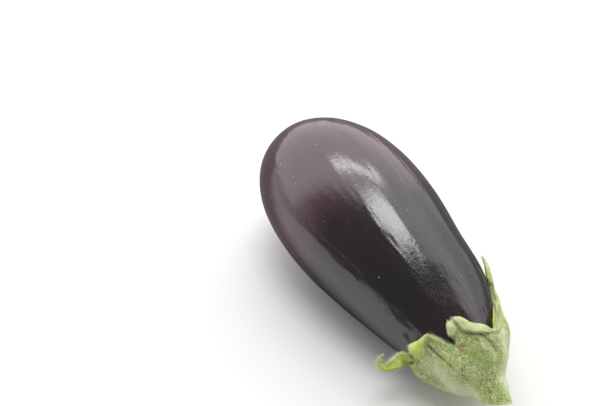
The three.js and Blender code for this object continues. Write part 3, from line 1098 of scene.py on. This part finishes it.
def makeFelt():
    # leaf felted with short star-shaped hairs: no gloss, pale speckle, stains, and painted shade darkening
    # its creases
    material, tree = newMaterial("felted_calyx_green")
    where = fruitCoordinates(tree)
    blotch = addNoise(tree, where, 1 / felt["blotchSize"], 4.0, 0.6)
    speckle = addNoise(tree, where, 1 / felt["speckleSize"], 2.0, 0.7)
    fibres = addStreaks(tree, where, felt["fibreSize"], 3.0, 0.65)
    # fibres and speckle, so that pale hairs gather along the ridges
    gathered = addMath(tree, "MULTIPLY_ADD", fibres, felt["fibreHeight"], -felt["fibreHeight"] / 2)
    height = addMath(tree, "ADD", gathered, speckle)
    colour = mixColours(tree, felt["hairShare"], addRamp(tree, blotch, felt["greens"]),
                        addRamp(tree, height, felt["hairs"]))
    # each tint thins out where the felt is thick, so that its edge is ragged
    worn = addMath(tree, "MULTIPLY_ADD", speckle, -felt["tintWear"], felt["tintWear"] / 2)
    # one of these tints is painted shade, laid along the creases
    for name, tint in felt["tintColours"].items():
        patchy = addMath(tree, "ADD", worn, attribute(tree, name))
        colour = mixColours(tree, addRange(tree, patchy, *felt["tintFades"]), colour, tint)
    rim = addRange(tree, attribute(tree, "edge"), *felt["rimFades"])
    leafOnly = addRange(tree, attribute(tree, "reach"), *felt["rimStarts"])
    colour = mixColours(tree, addMath(tree, "MULTIPLY", rim, leafOnly), colour, felt["rimColour"])
    return finishMaterial(material, addSurface(tree, colour, {
        **felt["surface"], "Normal": addBump(tree, height, felt["bump"])}))


# the sepals' inner side is smoother and a fresh yellow-green, which fades where it is rolled out;
# the torn and dried margins are pale and fuzzy
sheets = {
    "fresh_sepal_underside": {
        "blotches": 0.35,       # per millimetre
        "colours": [(0.35, "#acba50"), (0.55, "#bfcb6a"), (0.70, "#d2dc8e")],
        "rolledShare": 0.7,
        "surface": {"Roughness": 0.5, "Specular IOR Level": 0.4},
    },
    "pale_leaf_margin": {
        "blotches": 1.2,
        "colours": [(0.35, "#b5c47c"), (0.55, "#ccd7a2"), (0.70, "#e2e7cb")],
        "rolledShare": 0.0,
        "surface": {"Roughness": 0.8, "Specular IOR Level": 0.3},
    },
}
rolled = {"colour": "#c8ce9e", "between": (0.9, 1.4)}


def makeSheet(name):
    look = sheets[name]
    material, tree = newMaterial(name)
    blotch = addNoise(tree, fruitCoordinates(tree), look["blotches"], 3.0)
    amount = addRange(tree, attribute(tree, "edge"), *rolled["between"], 0.0, look["rolledShare"])
    colour = mixColours(tree, amount, addRamp(tree, blotch, look["colours"]), rolled["colour"])
    return finishMaterial(material, addSurface(tree, colour, look["surface"]))


cutLook = {
    "fibres": 2.2,              # per millimetre
    "fibreColour": "#d9deb4",
    "rings": [(0.0, "#a9bb6a"), (0.10, "#c9d39a"), (0.30, "#e2e6c0"), (0.46, "#d5dca8"),
              (0.56, "#a8b673"), (1.0, "#b9c48a")],
    "surface": {"Roughness": 0.45, "Specular IOR Level": 0.5},
}


def makeCutStem():
    # freshly cut stem: moist pale wood in a ring round a darker, spongy pith
    material, tree = newMaterial("fresh_cut_stem")
    fibres = addNoise(tree, fruitCoordinates(tree), cutLook["fibres"], 3.0)
    inwards = addRange(tree, attribute(tree, "reach"), -1.0, -1.5)
    colour = mixColours(tree, fibres, addRamp(tree, inwards, cutLook["rings"]),
                        cutLook["fibreColour"])
    return finishMaterial(material, addSurface(tree, colour, cutLook["surface"]))


def finishCalyx():
    piece = modelCalyx()
    centre, normal = cutPlane()
    for face in piece.data.polygons:
        onCut = (face.center - centre).dot(normal) > -calyx["cutDepth"]
        face.material_index = surfaces["cut" if onCut else "felt"]
    for material in (makeFelt(), *(makeSheet(name) for name in sheets), makeCutStem()):
        piece.data.materials.append(material)
    addModifier(piece, "SUBSURF", levels=1, render_levels=1)
    liftMarks(piece, True, 1.0)

    def layer(name):
        values = piece.data.attributes[name].data
        return lambda vertex: values[vertex.index].value

    reach, edge = layer("reach"), layer("edge")
    thickest = calyx["cupThickness"] + calyx["ribHeight"]
    thickest *= max(sepal["body"] for sepal in sepals)
    body, thinning = layer("body"), layer("thinning")
    flesh = weigh(piece, "flesh", lambda vertex: thicknessAt(
        max(0.0, reach(vertex)), edge(vertex), body(vertex), thinning(vertex)) / thickest)
    addModifier(piece, "SOLIDIFY", thickness=thickest, offset=-1, vertex_group=flesh,
                thickness_vertex_group=0.0, material_offset=surfaces["underside"],
                material_offset_rim=surfaces["margin"])
    addModifier(piece, "SUBSURF", levels=1, render_levels=1)

    outer = {v for face in piece.data.polygons if face.material_index == surfaces["felt"]
             for v in face.vertices}
    reach, furrow = layer("reach"), layer("furrow")

    def furrowWeight(vertex):
        start, end = (smoothStep(reach(vertex), *fade) for fade in calyx["furrowFades"])
        depth = start * (1 - end) * bell(furrow(vertex), calyx["furrowShare"])
        return depth if vertex.index in outer else 0.0

    raiseSkin(piece, "furrow", furrowWeight, -calyx["furrowDepth"])
    edge = layer("edge")
    furry = weigh(piece, "furry", lambda vertex: (
        1.0 if vertex.index in outer else calyx["foldFur"] * smoothStep(edge(vertex), *calyx["furFades"])))
    for name in ("crease", "felt"):
        addLumps(piece, name + "_lumps", calyx[name + "Lump"], 2, calyx[name + "Depth"], 0.5, furry)
    liftMarks(piece, False, np.array([v.index in outer for v in piece.data.vertices], float))
    points = cornersOf(piece)
    # each tint's amount from the marks, the painted crease shade among them
    for name in felt["tintColours"]:
        amount = np.zeros(len(points))
        for mark in marks:
            if name in mark:
                near = mark[name] * nearLine(points, markLine(mark), mark["reach"])
                amount = np.maximum(amount, near)
        piece.data.attributes.new(name, "FLOAT", "POINT").data.foreach_set("value", amount)
    layDown(piece)
    bpy.ops.object.shade_smooth()
    piece.vertex_groups.clear()
    onFruit(piece, "calyx_and_stem")
    return piece


# The felt itself: short pale hairs, each a bent three-sided cone. Real ones are about 0.03 mm
# thick, which would not show, so they are drawn nearly four times as thick, and fewer.
hair = {
    "length": (0.35, 0.95),
    "marginLength": 1.8,    # and how much longer they are along the margins
    "thickness": 0.055,     # radius at the root
    "bendAt": 0.55,         # share of its length where it bends, and how far its tip then moves
    "bend": (0.35, 0.0, -0.12),
    "lean": 0.45,
    "perSquareMillimetre": 2.3,
    "marginShare": 9.0,     # how much denser they stand along the margins
    "frostShare": 0.5,      # and how many more there are where the calyx is frosted
    "foldedFrom": 1.1,      # further across a sepal than this, its inner side has hairs too
    "rooted": 0.05,
    "tone": (0.4, 0.3),     # the middle and the spread
    "frostTone": 0.3,
    "tones": [(0.0, "#a0ae64"), (0.4, "#c8d29a"), (1.0, "#f8f9ee")],
    "surface": {"Roughness": 0.6, "Specular IOR Level": 0.3},
    "seed": 7,
}


def modelHair():
    bpy.ops.object.select_all(action="DESELECT")
    bpy.ops.mesh.primitive_cone_add(vertices=3, radius1=hair["thickness"], radius2=0.0, depth=1.0,
                                    end_fill_type="TRIFAN", location=(0, 0, 0.5))
    piece = startPiece("one_hair")
    bpy.ops.object.mode_set(mode="EDIT")
    bpy.ops.mesh.select_all(action="SELECT")
    bpy.ops.mesh.bisect(plane_co=(0, 0, hair["bendAt"]), plane_no=(0, 0, 1))
    pick(piece, "VERT", lambda vert: vert.co.z > 0.9)
    bpy.ops.transform.translate(value=hair["bend"])
    bpy.ops.object.mode_set(mode="OBJECT")
    return piece


def makeHairs():
    # plant hair: clear and pale, so it takes the light more than the leaf below it
    material, tree = newMaterial("pale_plant_hair")
    colour = addRamp(tree, attribute(tree, "tone"), hair["tones"])
    return finishMaterial(material, addSurface(tree, colour, hair["surface"]))


def plantHairs(leaf):
    one = modelHair()
    stalk = np.array([vertex.co for vertex in one.data.vertices])
    faces = [list(face.vertices) for face in one.data.polygons]
    bpy.data.objects.remove(one)
    draw = random.Random(hair["seed"])
    low, high = cadBox
    frost, edge = (leaf.data.attributes[name].data for name in ("frost", "edge"))
    points, sides, tones = [], [], []
    for face in leaf.data.polygons:
        onMargin = face.material_index == surfaces["margin"]
        folded = edge[face.vertices[0]].value > hair["foldedFrom"]
        inside = face.material_index == surfaces["underside"] and not folded
        if inside or face.material_index == surfaces["cut"]:
            continue
        number = face.area * 1e6 * hair["perSquareMillimetre"]
        pale = frost[face.vertices[0]].value
        number *= hair["marginShare"] if onMargin else 1 + hair["frostShare"] * pale
        number = int(number) + (draw.random() < number % 1)
        corners = [leaf.data.vertices[v].co for v in face.vertices]
        for _ in range(number):
            first, second = draw.random(), draw.random()
            root = corners[0].lerp(corners[1], first)
            root = root.lerp(corners[-1].lerp(corners[-2], first), second)
            lean = Vector([draw.gauss(0, 1) for _ in range(3)])
            lean = (face.normal + lean * hair["lean"]).normalized()
            length = draw.uniform(*hair["length"]) * sceneScale
            length *= hair["marginLength"] if onMargin else 1
            turn = Matrix.Rotation(draw.uniform(0, 2 * math.pi), 3, "Z")
            shape = lean.to_track_quat("Z", "Y").to_matrix() @ turn
            places = (stalk * np.array([sceneScale, sceneScale, length])) @ np.array(shape).T
            places += np.array(root - lean * hair["rooted"] * length)
            if (places < low).any() or (places > high).any() or (places[:, 2] < 0).any():
                continue
            sides += [[v + len(points) for v in side] for side in faces]
            points += places.tolist()
            tone = draw.gauss(*hair["tone"]) + hair["frostTone"] * pale
            tones += [min(1.0, max(0.0, tone))] * len(stalk)
    mesh = bpy.data.meshes.new("calyx_felt")
    mesh.from_pydata(points, [], sides)
    mesh.attributes.new("tone", "FLOAT", "POINT").data.foreach_set("value", tones)
    mesh.materials.append(makeHairs())
    piece = bpy.data.objects.new("calyx_felt", mesh)
    bpy.context.collection.objects.link(piece)
    onFruit(piece, None)
    print("hairs planted:", len(points) // len(stalk))


plantHairs(finishCalyx())
print("calyx modelled")
